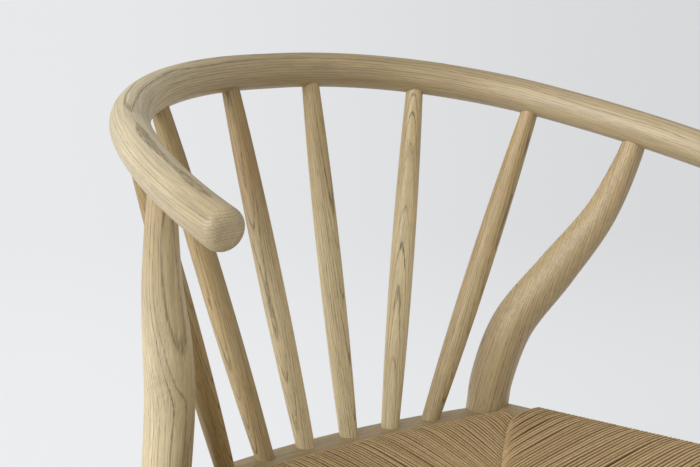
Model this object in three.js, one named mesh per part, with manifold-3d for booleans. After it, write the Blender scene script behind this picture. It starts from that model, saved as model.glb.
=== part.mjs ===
// A spindle-back armchair in pale wood with a woven paper-cord seat.
// One bent bow is both the top of the back and the two arms. Six turned spindles
// and the tops of the two S-shaped rear legs carry it.
//
// Millimetres, +Z up. The chair faces -Y, so the sitter's left is +X. The origin
// is on the floor, under the middle of the chair.
import * as THREE from 'three';
import { mergeVertices } from 'three/addons/utils/BufferGeometryUtils.js';
import Module from 'manifold-3d';

const wasm = await Module();
wasm.setup();

// ---- Driving dimensions ----------------------------------------------------

const FIT = 0.3; // clearance on every face where one piece goes into another
const SIDES = 16; // facets round a leg or the bow
const SEAT_TOP = 431; // top of the cords where they cross the rear and front rails
const CORD = 4; // thickness of cord round a rail
const LEFT = 1;
const RIGHT = -1;

// The bow lies in a plane that falls towards the front. Each half is a short
// straight at the back, a tight arc round the sitter and a wide arc for the arm.
const BOW = {
  apexY: 245,
  apexZ: 744.6,
  fall: THREE.MathUtils.degToRad(13.27),
  straight: 15,
  backRadius: 225,
  backAngle: THREE.MathUtils.degToRad(67.4),
  armRadius: 570,
  armAngle: THREE.MathUtils.degToRad(18.9),
  radius: 15.4,
  endRounding: 8,
  rings: 40,
};

const SPINDLE = {
  baseX: [24.7, 71.8, 117.1], // along the rail, each side of the middle
  baseZ: 430, // the height at which baseX and the line of the feet are given
  bowLength: [45, 150, 262], // along the bow from its middle, for the same three
  baseRadius: 8.1,
  belly: 2.75, // swelling over a straight taper, at mid length
  topRadius: 7.8,
  socket: 13, // depth of the round socket at each end
  rings: 8,
};

// Spindle rail, the board behind the seat. Both long edges are parabolas in plan.
const SPINDLE_RAIL = { back: 177.6, backBow: 0.0007, front: 141.6, frontBow: 0.0003 };
const SPINDLE_RAIL_TOP = 425;
const SPINDLE_RAIL_HEIGHT = 24;
const SPINDLE_RAIL_HALF = 178; // half its length, before the legs are cut out of it
const SPINDLE_LINE = { y: 164.1, bow: 0.0008 }; // the spindles' feet, in plan

// Rails that the cord is wound on
const CORE_TOP = SEAT_TOP - CORD;
const CORE_HEIGHT = 22;
const CORE_MIDDLE = CORE_TOP - CORE_HEIGHT / 2;
const CORE_ROUND = 6;
const SIDE_RAIL_WIDTH = 26;
const SIDE_RAIL_LIFT = 2.3; // how much higher the side rails are than the other two
const FRONT_RAIL_WIDTH = 23;
const REAR_CORD_RAIL = { back: 136.6, backBow: 0.0005, front: 112.6, frontBow: 0.0005 };
const REAR_CORD_RAIL_HALF = 190; // half its length, before the side rails are cut out of it
const REAR_CORD_RAIL_JOINT = 176; // the x where its ends meet the side rails
// Centre of a side rail where it enters the rear leg, how far ahead of that its
// shoulder is, and how far its tenon is moved towards the leg's axis
const SIDE_RAIL_REAR = { x: 186, y: 139, shoulder: 10, tenonShift: 2 };
// Where the cords end, on each rail
const CORDS = { rearX: 173, sideRearY: 98.5, sideFrontY: -216, frontX: 217, frontY: -258 };
const CORD_GAP = 0.5; // between the cords and the spindle rail's rounded edge

// Rear leg, sitter's left: foot, straight lower half, then the S up to the bow
const REAR_LEG_PATH = [
  [184, 214, 0],
  [181.4, 165.4, 300],
  [180.3, 144.4, 430],
  [180.8, 139.6, 456],
  [188.8, 122, 509],
  [210.9, 89.8, 562],
  [233.8, 59.1, 615],
  [246.4, 38.2, 668],
  [249.8, 30.4, 694],
];
// Its radius at lengths along that path
const REAR_LEG_TURNING = [
  [13.5, 0],
  [17.6, 250],
  [19.6, 435],
  [19.8, 504],
  [18.3, 584],
  [13.7, 665],
  [9.5, 736],
];
const REAR_LEG_RINGS = 26;

// Front leg: straight and turned, with a domed top just above the cords
const FRONT_LEG_FOOT = new THREE.Vector3(247, -246, 0);
const FRONT_LEG_SEAT = new THREE.Vector3(243, -241, 415);
const FRONT_LEG_TURNING = [
  [13.5, 0],
  [17.4, 200],
  [19, 330],
  [19, 432],
  [17.5, 437],
  [12, 441.5],
  [6, 443.5],
  [0, 444],
];
const FRONT_LEG_RADIUS = 19; // at the rails
const LOW_LEG_RADIUS = 17; // of any leg, at the stretchers
const STRETCHER = { endRadius: 7.5, belly: 3.5, socket: 12, rings: 6 };
const SIDE_STRETCHER_REAR_Z = 205;
const SIDE_STRETCHER_FRONT_Z = 190;
const CROSS_STRETCHER_Z = 262;

const TENON_RADIUS = 6;
const TENON_LENGTH = 12;
const BOARD_TENON = { length: 24, depth: 10, height: 14, reach: 20, ahead: 1 };
const CROWN_TENON = { radius: 6.5, below: 3 }; // on top of the rear leg

const GLIDE = { radius: 10.5, height: 3, edge: 1.2, pinRadius: 1.8, pinLength: 12, pinPoint: 2 };
const LARGE = 200; // a block larger than any leg, to cut with

// ---- Materials -------------------------------------------------------------

function wood(colour) {
  return new THREE.MeshStandardMaterial({ color: colour, roughness: 0.62, metalness: 0 });
}

function cordPaper() {
  return new THREE.MeshStandardMaterial({ color: 0xb39a70, roughness: 0.9, metalness: 0 });
}

function nylon() {
  return new THREE.MeshStandardMaterial({ color: 0xd8d2c4, roughness: 0.5, metalness: 0 });
}

// ---- Solids ----------------------------------------------------------------

/** The solid inside a closed geometry, with shared vertices merged. */
function solidOf(geometry) {
  const bare = geometry.clone();
  bare.deleteAttribute('normal');
  bare.deleteAttribute('uv');
  const merged = mergeVertices(bare, 1e-4);
  const index = merged.index.array;
  const triangles = [];
  for (let i = 0; i < index.length; i += 3) {
    const [a, b, c] = [index[i], index[i + 1], index[i + 2]];
    if (a !== b && b !== c && c !== a) triangles.push(a, b, c);
  }
  return new wasm.Manifold(new wasm.Mesh({
    numProp: 3,
    vertProperties: Float32Array.from(merged.attributes.position.array),
    triVerts: Uint32Array.from(triangles),
  }));
}

/** The geometry of a solid. */
function geometryOf(solid) {
  const mesh = solid.getMesh();
  const geometry = new THREE.BufferGeometry();
  geometry.setAttribute('position', new THREE.BufferAttribute(mesh.vertProperties, 3));
  geometry.setIndex(new THREE.BufferAttribute(mesh.triVerts, 1));
  geometry.computeVertexNormals();
  return geometry;
}

function named(name, geometry, material) {
  const mesh = new THREE.Mesh(geometry, material);
  mesh.name = name;
  return mesh;
}

/** A turned piece, upright on Y from 0. Its outline is a list of [radius, length]. */
function turned(outline, sides = SIDES) {
  return new THREE.LatheGeometry(outline.map(([r, s]) => new THREE.Vector2(r, s)), sides);
}

/** Moves a piece made on Y so that Y runs from one point towards another. */
function between(geometry, from, to) {
  const axis = to.clone().sub(from).normalize();
  const turn = new THREE.Quaternion().setFromUnitVectors(new THREE.Vector3(0, 1, 0), axis);
  return geometry.clone().applyQuaternion(turn).translate(from.x, from.y, from.z);
}

/** A peg from one point to another. */
function peg(from, to, radius, sides = 12) {
  const length = from.distanceTo(to);
  const rod = new THREE.CylinderGeometry(radius, radius, length, sides);
  return solidOf(between(rod.translate(0, length / 2, 0), from, to));
}

/** Bends a piece made on Y so that its axis follows a curve of the same length. */
function bent(geometry, curve, length, across) {
  const place = geometry.clone();
  const position = place.attributes.position;
  const corner = new THREE.Vector3();
  for (let i = 0; i < position.count; i++) {
    corner.fromBufferAttribute(position, i);
    const t = THREE.MathUtils.clamp(corner.y / length, 0, 1);
    const along = curve.getTangentAt(t);
    const side = across.clone().addScaledVector(along, -across.dot(along)).normalize();
    const third = new THREE.Vector3().crossVectors(side, along);
    const point = curve.getPointAt(t);
    point.addScaledVector(side, corner.x).addScaledVector(third, corner.z);
    position.setXYZ(i, point.x, point.y, point.z);
  }
  return place;
}

/** A straight rail with rounded edges between two points. */
function railBetween(from, to, width, height, grow = 0) {
  const w = width / 2 + grow;
  const h = height / 2 + grow;
  const r = CORE_ROUND + grow;
  const section = new THREE.Shape();
  section.moveTo(-w + r, -h);
  section.lineTo(w - r, -h);
  section.absarc(w - r, -h + r, r, -Math.PI / 2, 0);
  section.absarc(w - r, h - r, r, 0, Math.PI / 2);
  section.absarc(-w + r, h - r, r, Math.PI / 2, Math.PI);
  section.absarc(-w + r, -h + r, r, Math.PI, 1.5 * Math.PI);
  const depth = from.distanceTo(to);
  const bar = new THREE.ExtrudeGeometry(section, { depth, bevelEnabled: false, curveSegments: 3 });
  const along = to.clone().sub(from).normalize();
  const up = new THREE.Vector3(0, 0, 1);
  const side = new THREE.Vector3().crossVectors(up, along).normalize();
  const place = new THREE.Matrix4().makeBasis(side, up, along).setPosition(from);
  return solidOf(bar.applyMatrix4(place));
}

/** A parabola that is 0 at both ends and 1 at the middle. */
function hump(t) {
  return 4 * t * (1 - t);
}

/** The height of a parabolic edge, in plan, at x. */
function edgeAt(middle, bow, x) {
  return middle - bow * x * x;
}

/** A level board whose front and back edges are parabolas in plan. */
function curvedBoard(plan, halfLength, bottom, top, grow = 0) {
  const back = edgeAt(plan.back + grow, plan.backBow, halfLength);
  const front = edgeAt(plan.front - grow, plan.frontBow, halfLength);
  const outline = new THREE.Shape();
  outline.moveTo(halfLength, front);
  outline.lineTo(halfLength, back);
  outline.quadraticCurveTo(0, 2 * (plan.back + grow) - back, -halfLength, back);
  outline.lineTo(-halfLength, front);
  outline.quadraticCurveTo(0, 2 * (plan.front - grow) - front, halfLength, front);
  const depth = top - bottom + 2 * grow;
  const board = new THREE.ExtrudeGeometry(outline, { depth, bevelEnabled: false, curveSegments: 10 });
  return solidOf(board.translate(0, 0, bottom - grow));
}

// ---- Bow -------------------------------------------------------------------

/** The centre line of the bow, from the tip of the right arm to the left tip. */
class BowCurve extends THREE.Curve {
  constructor() {
    super();
    const backArc = BOW.backRadius * BOW.backAngle;
    const armArc = BOW.armRadius * BOW.armAngle;
    this.backEnd = BOW.straight + backArc;
    this.half = this.backEnd + armArc;
  }

  /** The point at a length along the bow, measured from its middle to the left. */
  at(length) {
    const side = Math.sign(length);
    const s = Math.abs(length);
    const tight = Math.max(0, Math.min(s, this.backEnd) - BOW.straight) / BOW.backRadius;
    const wide = Math.max(0, s - this.backEnd) / BOW.armRadius;
    const turnedTo = tight + wide;
    const x = Math.min(s, BOW.straight) + BOW.backRadius * Math.sin(tight)
      + BOW.armRadius * (Math.sin(turnedTo) - Math.sin(tight));
    const forward = BOW.backRadius * (1 - Math.cos(tight))
      + BOW.armRadius * (Math.cos(tight) - Math.cos(turnedTo));
    return new THREE.Vector3(
      side * x,
      BOW.apexY - forward * Math.cos(BOW.fall),
      BOW.apexZ - forward * Math.sin(BOW.fall),
    );
  }

  getPoint(t, target = new THREE.Vector3()) {
    return target.copy(this.at((2 * t - 1) * this.half));
  }
}

const bowCurve = new BowCurve();
const BOW_PLANE = new THREE.Vector3(0, -Math.sin(BOW.fall), Math.cos(BOW.fall));

/** The bow with rounded arm ends, grown by a clearance. */
function bowSolid(grow) {
  const length = 2 * bowCurve.half;
  const flat = BOW.radius - BOW.endRounding;
  const start = [[0, 0]];
  for (const turn of [0, 30, 60, 90]) {
    const angle = THREE.MathUtils.degToRad(turn);
    const out = flat + BOW.endRounding * Math.sin(angle);
    start.push([out + grow, BOW.endRounding * (1 - Math.cos(angle))]);
  }
  const outline = [...start];
  const run = length - 2 * BOW.endRounding;
  for (let i = 1; i < BOW.rings; i++) {
    outline.push([BOW.radius + grow, BOW.endRounding + (run * i) / BOW.rings]);
  }
  outline.push(...start.reverse().map(([r, s]) => [r, length - s]));
  return solidOf(bent(turned(outline), bowCurve, length, BOW_PLANE));
}

// ---- Legs ------------------------------------------------------------------

/** Cuts a leg off level, just above its glide, and opens the hole for the glide's pin. */
function levelled(solid, foot) {
  const floor = new THREE.BoxGeometry(LARGE, LARGE, LARGE);
  floor.translate(foot.x, foot.y, GLIDE.height + FIT - LARGE / 2);
  const top = new THREE.Vector3(foot.x, foot.y, GLIDE.height + GLIDE.pinLength + FIT);
  return solid
    .subtract(solidOf(floor))
    .subtract(peg(new THREE.Vector3(foot.x, foot.y, 0), top, GLIDE.pinRadius + FIT, 8));
}

function rearLegCurve(side) {
  return new THREE.CatmullRomCurve3(
    REAR_LEG_PATH.map(([x, y, z]) => new THREE.Vector3(side * x, y, z)),
  );
}

/** A rear leg on its curve, grown by a clearance. */
function rearLegSolid(side, grow) {
  const curve = rearLegCurve(side);
  const length = curve.getLength();
  const turning = new THREE.SplineCurve(REAR_LEG_TURNING.map(([r, s]) => new THREE.Vector2(r, s)));
  const full = REAR_LEG_TURNING.at(-1)[1];
  const outline = turning.getSpacedPoints(REAR_LEG_RINGS)
    .map((point) => [point.x + grow, (point.y * length) / full]);
  outline.unshift([0, 0]);
  outline.push([0, length]);
  return solidOf(bent(turned(outline), curve, length, new THREE.Vector3(side, -0.6, 0)));
}

function frontLegAxis(side) {
  const foot = FRONT_LEG_FOOT.clone();
  const seat = FRONT_LEG_SEAT.clone();
  foot.x *= side;
  seat.x *= side;
  return { foot, seat };
}

/** A front leg, grown by a clearance. */
function frontLegSolid(side, grow) {
  const { foot, seat } = frontLegAxis(side);
  const outline = FRONT_LEG_TURNING.map(([r, s]) => [r === 0 ? 0 : r + grow, s]);
  outline.unshift([0, 0]);
  return solidOf(between(turned(outline), foot, seat));
}

/** A point on a leg's axis at a height. */
function rearLegAt(side, z) {
  const curve = rearLegCurve(side);
  const low = curve.points.findIndex((point) => point.z > z) - 1;
  const [a, b] = [curve.points[low], curve.points[low + 1]];
  return a.clone().lerp(b, (z - a.z) / (b.z - a.z));
}

function frontLegAt(side, z) {
  const { foot, seat } = frontLegAxis(side);
  return foot.clone().lerp(seat, (z - foot.z) / (seat.z - foot.z));
}

// ---- Assembly --------------------------------------------------------------

const solids = {};
const sides = [['left', LEFT], ['right', RIGHT]];
solids.arm_bow = bowSolid(0);
const bowRoom = bowSolid(FIT);
const legRoom = {};
for (const [word, side] of sides) {
  const rearFoot = new THREE.Vector3(side * REAR_LEG_PATH[0][0], REAR_LEG_PATH[0][1], 0);
  solids[`rear_leg_${word}`] = levelled(rearLegSolid(side, 0), rearFoot).subtract(bowRoom);
  solids[`front_leg_${word}`] = levelled(frontLegSolid(side, 0), frontLegAxis(side).foot);
  legRoom[`rear_leg_${word}`] = rearLegSolid(side, FIT);
  legRoom[`front_leg_${word}`] = frontLegSolid(side, FIT);
}

/** Fits a round tenon from one piece into another, along a line. */
function fitTenon(male, female, from, to, radius) {
  const past = to.clone().sub(from).normalize().multiplyScalar(FIT);
  solids[male] = solids[male].add(peg(from, to, radius));
  solids[female] = solids[female].subtract(peg(from, to.clone().add(past), radius + FIT));
}

/** Shapes the end of a rail to a round leg, and fits its tenon. */
function fitRail(rail, leg, shoulder, inward) {
  solids[rail] = solids[rail].subtract(legRoom[leg]);
  const from = shoulder.clone().addScaledVector(inward, -TENON_LENGTH);
  const to = shoulder.clone().addScaledVector(inward, TENON_LENGTH);
  fitTenon(rail, leg, from, to, TENON_RADIUS);
}

// Tops of the rear legs, in the bow
for (const [word, side] of sides) {
  const curve = rearLegCurve(side);
  const end = curve.getPointAt(1);
  const along = curve.getTangentAt(1);
  const from = end.clone().addScaledVector(along, -BOW.radius - TENON_LENGTH);
  const to = end.clone().addScaledVector(along, -CROWN_TENON.below);
  fitTenon(`rear_leg_${word}`, 'arm_bow', from, to, CROWN_TENON.radius);
}

// Spindle rail, with a flat tenon in each rear leg
const railBottom = SPINDLE_RAIL_TOP - SPINDLE_RAIL_HEIGHT;
solids.spindle_rail = curvedBoard(SPINDLE_RAIL, SPINDLE_RAIL_HALF, railBottom, SPINDLE_RAIL_TOP);
for (const [word, side] of sides) {
  const leg = `rear_leg_${word}`;
  const z = SPINDLE_RAIL_TOP - SPINDLE_RAIL_HEIGHT / 2;
  const axis = rearLegAt(side, z);
  const tongue = (grow) => {
    const depth = BOARD_TENON.depth + 2 * grow;
    const height = BOARD_TENON.height + 2 * grow;
    const block = new THREE.BoxGeometry(BOARD_TENON.length + 2 * grow, depth, height);
    const x = axis.x - side * BOARD_TENON.reach;
    return solidOf(block.translate(x, axis.y - BOARD_TENON.ahead, z));
  };
  solids.spindle_rail = solids.spindle_rail.subtract(legRoom[leg]).add(tongue(0));
  solids[leg] = solids[leg].subtract(tongue(FIT));
}

// Spindles: straight and turned, each end in its own round socket
const spindles = [];
const pairs = SPINDLE.baseX.length;
for (const side of [RIGHT, LEFT]) {
  SPINDLE.baseX.forEach((baseX, i) => {
    const y = edgeAt(SPINDLE_LINE.y, SPINDLE_LINE.bow, baseX);
    const foot = new THREE.Vector3(side * baseX, y, SPINDLE.baseZ);
    const crown = bowCurve.at(side * SPINDLE.bowLength[i]);
    const axis = crown.clone().sub(foot).normalize();
    const onAxis = (start, length) => start.clone().addScaledVector(axis, length);
    const from = onAxis(foot, -(SPINDLE.baseZ - SPINDLE_RAIL_TOP) / axis.z - SPINDLE.socket);
    const to = onAxis(crown, SPINDLE.socket - BOW.radius);
    const order = side === RIGHT ? pairs - i : pairs + 1 + i; // from the right to the left
    spindles.push({ name: `spindle_${order}`, from, to });
    solids.spindle_rail = solids.spindle_rail.subtract(
      peg(onAxis(from, -FIT), onAxis(from, 2 * SPINDLE.socket), SPINDLE.baseRadius + 2 * FIT));
    solids.arm_bow = solids.arm_bow.subtract(
      peg(onAxis(to, FIT), onAxis(to, -2 * SPINDLE.socket), SPINDLE.topRadius + 2 * FIT));
  });
}

/** A spindle: plain ends for the sockets, and a long soft belly between them. */
function spindleGeometry(length) {
  const outline = [[0, 0], [SPINDLE.baseRadius, 0]];
  const run = length - 2 * SPINDLE.socket;
  for (let ring = 0; ring <= SPINDLE.rings; ring++) {
    const t = ring / SPINDLE.rings;
    const plain = THREE.MathUtils.lerp(SPINDLE.baseRadius, SPINDLE.topRadius, t);
    outline.push([plain + SPINDLE.belly * hump(t), SPINDLE.socket + run * t]);
  }
  outline.push([SPINDLE.topRadius, length], [0, length]);
  return turned(outline, 12);
}

// Side rails, from the front of each rear leg to the back of each front leg
const SIDE_RAIL_MIDDLE = CORE_MIDDLE + SIDE_RAIL_LIFT;
const sideRailLine = (side) => ({
  rear: new THREE.Vector3(side * SIDE_RAIL_REAR.x, SIDE_RAIL_REAR.y, SIDE_RAIL_MIDDLE),
  front: frontLegAt(side, SIDE_RAIL_MIDDLE),
});
const rails = { side_rail_left: LEFT, side_rail_right: RIGHT };
const railRoom = [];
for (const [name, side] of Object.entries(rails)) {
  const { rear, front } = sideRailLine(side);
  const word = name.split('_').at(-1);
  const along = front.clone().sub(rear).normalize();
  solids[name] = railBetween(rear, front, SIDE_RAIL_WIDTH, CORE_HEIGHT);
  const longer = front.clone().addScaledVector(along, 2 * FRONT_LEG_RADIUS);
  railRoom.push(railBetween(rear, longer, SIDE_RAIL_WIDTH, CORE_HEIGHT, FIT));
  const rearShoulder = rear.clone().addScaledVector(along, SIDE_RAIL_REAR.shoulder);
  rearShoulder.x -= side * SIDE_RAIL_REAR.tenonShift;
  fitRail(name, `rear_leg_${word}`, rearShoulder, along.clone().negate());
  const frontShoulder = front.clone().addScaledVector(along, -FRONT_LEG_RADIUS);
  fitRail(name, `front_leg_${word}`, frontShoulder, along);
}

// Front rail, between the front legs
const frontRailEnds = [frontLegAt(RIGHT, CORE_MIDDLE), frontLegAt(LEFT, CORE_MIDDLE)];
solids.front_rail = railBetween(...frontRailEnds, FRONT_RAIL_WIDTH, CORE_HEIGHT);
railRoom.push(railBetween(...frontRailEnds, FRONT_RAIL_WIDTH, CORE_HEIGHT, FIT));
for (const [word, side] of sides) {
  const inward = new THREE.Vector3(side, 0, 0);
  const shoulder = frontLegAt(side, CORE_MIDDLE).addScaledVector(inward, -FRONT_LEG_RADIUS);
  fitRail('front_rail', `front_leg_${word}`, shoulder, inward);
}

// Rear cord rail, between the side rails, just ahead of the rear legs
const rearCordRail = (grow) => curvedBoard(
  REAR_CORD_RAIL, REAR_CORD_RAIL_HALF, CORE_TOP - CORE_HEIGHT, CORE_TOP, grow);
solids.rear_cord_rail = rearCordRail(0);
railRoom.push(rearCordRail(FIT));
for (const [name, side] of Object.entries(rails)) {
  const { rear, front } = sideRailLine(side);
  const middle = (REAR_CORD_RAIL.back + REAR_CORD_RAIL.front) / 2;
  const y = edgeAt(middle, REAR_CORD_RAIL.backBow, REAR_CORD_RAIL_JOINT);
  const face = rear.clone().lerp(front, (rear.y - y) / (rear.y - front.y));
  face.x -= side * (SIDE_RAIL_WIDTH / 2);
  face.z = CORE_MIDDLE;
  const tall = CORE_HEIGHT + 4 * SIDE_RAIL_LIFT; // reaches below the rear rail as well
  solids.rear_cord_rail = solids.rear_cord_rail.subtract(
    railBetween(rear, front, SIDE_RAIL_WIDTH, tall, FIT));
  const outward = new THREE.Vector3(side, 0, 0);
  const from = face.clone().addScaledVector(outward, -TENON_LENGTH);
  const to = face.clone().addScaledVector(outward, TENON_LENGTH);
  fitTenon('rear_cord_rail', name, from, to, TENON_RADIUS);
}

// Stretchers: a pair along the sides, and one across at the front and the back

/** A turned stretcher between two legs, with both ends in round sockets. */
function addStretcher(name, legA, pointA, radiusA, legB, pointB, radiusB) {
  const along = pointB.clone().sub(pointA).normalize();
  const from = pointA.clone().addScaledVector(along, radiusA - STRETCHER.socket);
  const to = pointB.clone().addScaledVector(along, STRETCHER.socket - radiusB);
  const length = from.distanceTo(to);
  const run = length - 2 * STRETCHER.socket;
  const outline = [[0, 0], [STRETCHER.endRadius, 0]];
  for (let ring = 0; ring <= STRETCHER.rings; ring++) {
    const t = ring / STRETCHER.rings;
    outline.push([STRETCHER.endRadius + STRETCHER.belly * hump(t), STRETCHER.socket + run * t]);
  }
  outline.push([STRETCHER.endRadius, length], [0, length]);
  solids[name] = solidOf(between(turned(outline, 12), from, to));
  for (const [leg, end, inward] of [[legA, from, along.clone().negate()], [legB, to, along]]) {
    const hole = peg(
      end.clone().addScaledVector(inward, FIT),
      end.clone().addScaledVector(inward, -2 * STRETCHER.socket),
      STRETCHER.endRadius + 2 * FIT,
    );
    solids[leg] = solids[leg].subtract(hole);
  }
}

for (const [word, side] of sides) {
  addStretcher(
    `side_stretcher_${word}`,
    `rear_leg_${word}`, rearLegAt(side, SIDE_STRETCHER_REAR_Z), LOW_LEG_RADIUS,
    `front_leg_${word}`, frontLegAt(side, SIDE_STRETCHER_FRONT_Z), LOW_LEG_RADIUS,
  );
}
for (const [word, legAt] of [['front', frontLegAt], ['back', rearLegAt]]) {
  addStretcher(
    `${word}_stretcher`,
    `${word === 'front' ? 'front' : 'rear'}_leg_right`,
    legAt(RIGHT, CROSS_STRETCHER_Z), LOW_LEG_RADIUS,
    `${word === 'front' ? 'front' : 'rear'}_leg_left`,
    legAt(LEFT, CROSS_STRETCHER_Z), LOW_LEG_RADIUS,
  );
}

// Woven seat: one closed pad with a thicker roll round each side rail, and a channel for
// each rail that the cord goes round
function cordSeatSolid() {
  const railAt = (side, y) => {
    const { rear, front } = sideRailLine(side);
    return rear.clone().lerp(front, (rear.y - y) / (rear.y - front.y));
  };
  const back = { middle: REAR_CORD_RAIL.back + CORD - CORD_GAP, bow: REAR_CORD_RAIL.backBow };
  const backEnd = edgeAt(back.middle, back.bow, CORDS.rearX);
  const rearX = railAt(LEFT, CORDS.sideRearY).x;
  const frontX = railAt(LEFT, CORDS.sideFrontY).x;
  const outline = new THREE.Shape();
  outline.moveTo(CORDS.frontX, CORDS.frontY);
  outline.lineTo(CORDS.frontX, CORDS.sideFrontY);
  outline.lineTo(frontX, CORDS.sideFrontY);
  outline.lineTo(rearX, CORDS.sideRearY);
  outline.lineTo(CORDS.rearX, CORDS.sideRearY);
  outline.lineTo(CORDS.rearX, backEnd);
  outline.quadraticCurveTo(0, 2 * back.middle - backEnd, -CORDS.rearX, backEnd);
  outline.lineTo(-CORDS.rearX, CORDS.sideRearY);
  outline.lineTo(-rearX, CORDS.sideRearY);
  outline.lineTo(-frontX, CORDS.sideFrontY);
  outline.lineTo(-CORDS.frontX, CORDS.sideFrontY);
  outline.lineTo(-CORDS.frontX, CORDS.frontY);
  const depth = CORE_HEIGHT + 2 * CORD;
  const pad = new THREE.ExtrudeGeometry(outline, { depth, bevelEnabled: false, curveSegments: 10 });
  let solid = solidOf(pad.translate(0, 0, SEAT_TOP - depth));
  for (const side of [LEFT, RIGHT]) {
    const [from, to] = [CORDS.sideRearY, CORDS.sideFrontY].map((y) => railAt(side, y));
    solid = solid.add(railBetween(from, to, SIDE_RAIL_WIDTH, CORE_HEIGHT, CORD));
  }
  for (const room of railRoom) solid = solid.subtract(room);
  return solid;
}
solids.cord_seat = cordSeatSolid();

/** A glide under a leg: a disc with softened edges, and a pin up into the wood. */
function glideGeometry() {
  return turned([
    [0, 0],
    [GLIDE.radius - GLIDE.edge, 0],
    [GLIDE.radius, GLIDE.edge],
    [GLIDE.radius, GLIDE.height],
    [GLIDE.pinRadius, GLIDE.height],
    [GLIDE.pinRadius, GLIDE.height + GLIDE.pinLength - GLIDE.pinPoint],
    [0, GLIDE.height + GLIDE.pinLength],
  ]).rotateX(Math.PI / 2);
}

// ---- The chair -------------------------------------------------------------

const SHADES = {
  arm_bow: 0xc4ad80,
  rear_leg_left: 0xbfa87c,
  rear_leg_right: 0xc0a97e,
  spindle_rail: 0xb59d72,
};

const frame = new THREE.Group();
for (const [name, solid] of Object.entries(solids)) {
  if (name === 'cord_seat') continue;
  frame.add(named(name, geometryOf(solid), wood(SHADES[name] ?? 0xbca67a)));
}

const back = new THREE.Group();
for (const { name, from, to } of spindles) {
  const spindle = named(name, spindleGeometry(from.distanceTo(to)), wood(0xbaa376));
  const axis = to.clone().sub(from).normalize();
  spindle.position.copy(from);
  spindle.quaternion.setFromUnitVectors(new THREE.Vector3(0, 1, 0), axis);
  back.add(spindle);
}

const feet = new THREE.Group();
for (const [word, side] of sides) {
  const places = { rear: REAR_LEG_PATH[0], front: FRONT_LEG_FOOT.toArray() };
  for (const [end, [x, y]] of Object.entries(places)) {
    const glide = named(`${end}_glide_${word}`, glideGeometry(), nylon());
    glide.position.set(side * x, y, 0);
    feet.add(glide);
  }
}

const chair = new THREE.Group();
chair.name = 'spindle_back_armchair';
chair.add(frame, back, feet);
chair.add(named('cord_seat', geometryOf(solids.cord_seat), cordPaper()));

export default chair;
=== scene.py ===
"""A spindle-back armchair in pale soaped ash with a woven paper-cord seat.

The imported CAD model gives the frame, and nearly all driving sizes below are its own. Each
wooden piece is rebuilt as a smooth turned, bent or sawn form that carries its own grain
coordinates, and the seat is woven strand by strand. Metres, +Z up, the chair faces -Y.
"""
import math
import random

import bmesh
import bpy
import numpy as np
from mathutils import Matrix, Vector


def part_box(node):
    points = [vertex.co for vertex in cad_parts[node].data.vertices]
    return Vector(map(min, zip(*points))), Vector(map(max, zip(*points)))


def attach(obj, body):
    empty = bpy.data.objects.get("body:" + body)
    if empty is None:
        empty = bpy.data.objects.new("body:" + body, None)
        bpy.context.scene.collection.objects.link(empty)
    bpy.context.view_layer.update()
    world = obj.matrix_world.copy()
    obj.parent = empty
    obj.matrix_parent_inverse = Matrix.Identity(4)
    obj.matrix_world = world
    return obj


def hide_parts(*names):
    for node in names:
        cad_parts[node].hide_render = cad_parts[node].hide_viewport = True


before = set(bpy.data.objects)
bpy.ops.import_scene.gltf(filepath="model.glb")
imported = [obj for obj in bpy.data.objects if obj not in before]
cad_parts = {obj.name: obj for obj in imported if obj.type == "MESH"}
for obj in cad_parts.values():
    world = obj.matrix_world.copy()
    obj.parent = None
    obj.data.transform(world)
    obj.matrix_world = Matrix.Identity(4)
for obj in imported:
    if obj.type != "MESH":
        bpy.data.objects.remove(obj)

MM = 0.001
LEFT, RIGHT = 1, -1
BODY = "root"


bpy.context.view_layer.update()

# ---- Driving sizes, as in the CAD model or within 0.3 mm unless noted, and tones ----

BOW_RADIUS = 15.4 * MM
BOW_FALL = math.radians(13.27)
BOW_STRAIGHT = 15 * MM
BOW_BACK_RADIUS = 225 * MM
BOW_BACK_ANGLE = math.radians(67.4)
BOW_ARM_RADIUS = 570 * MM
BOW_ARM_ANGLE = math.radians(18.9)
BOW_APEX_Z = 744.6 * MM
# Tones make the wood paler or darker, -1 to 1, as (share of the length, tone) pairs
BOW_TONES = [(0, -0.2), (0.07, 0.2), (0.16, 0.6), (0.24, 0.5), (0.31, 0.4), (0.4, -0.05),
             (0.5, -0.5), (0.63, -0.45), (0.77, -0.25), (1, -0.2)]
ARM_END_ROUNDING = 8 * MM

SPINDLE_FOOT_X = [24.7 * MM, 71.8 * MM, 117.1 * MM]
SPINDLE_ROW_Y = 164.1 * MM  # where the row of feet crosses the chair's middle
SPINDLE_ROW_CURVE = 0.8  # the row comes forward by this times x squared, in metres
SPINDLE_CROWN = [45 * MM, 150 * MM, 262 * MM]
SPINDLE_TONES_AND_SHADE = {  # at the foot and at the crown, numbered from the sitter's right: each spindle's own tone, darker at the crown as painted shade under the bow
    1: (-0.8, -0.8), 2: (-0.2, -0.9), 3: (0.8, -1.0),
    4: (1.0, -0.4), 5: (1.0, -0.1), 6: (0.0, -0.6),
}
SPINDLE_SOCKET = 13 * MM
SPINDLE_BASE = 8.1 * MM
SPINDLE_BELLY = 2.75 * MM
SPINDLE_TOP = 7.8 * MM

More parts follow.
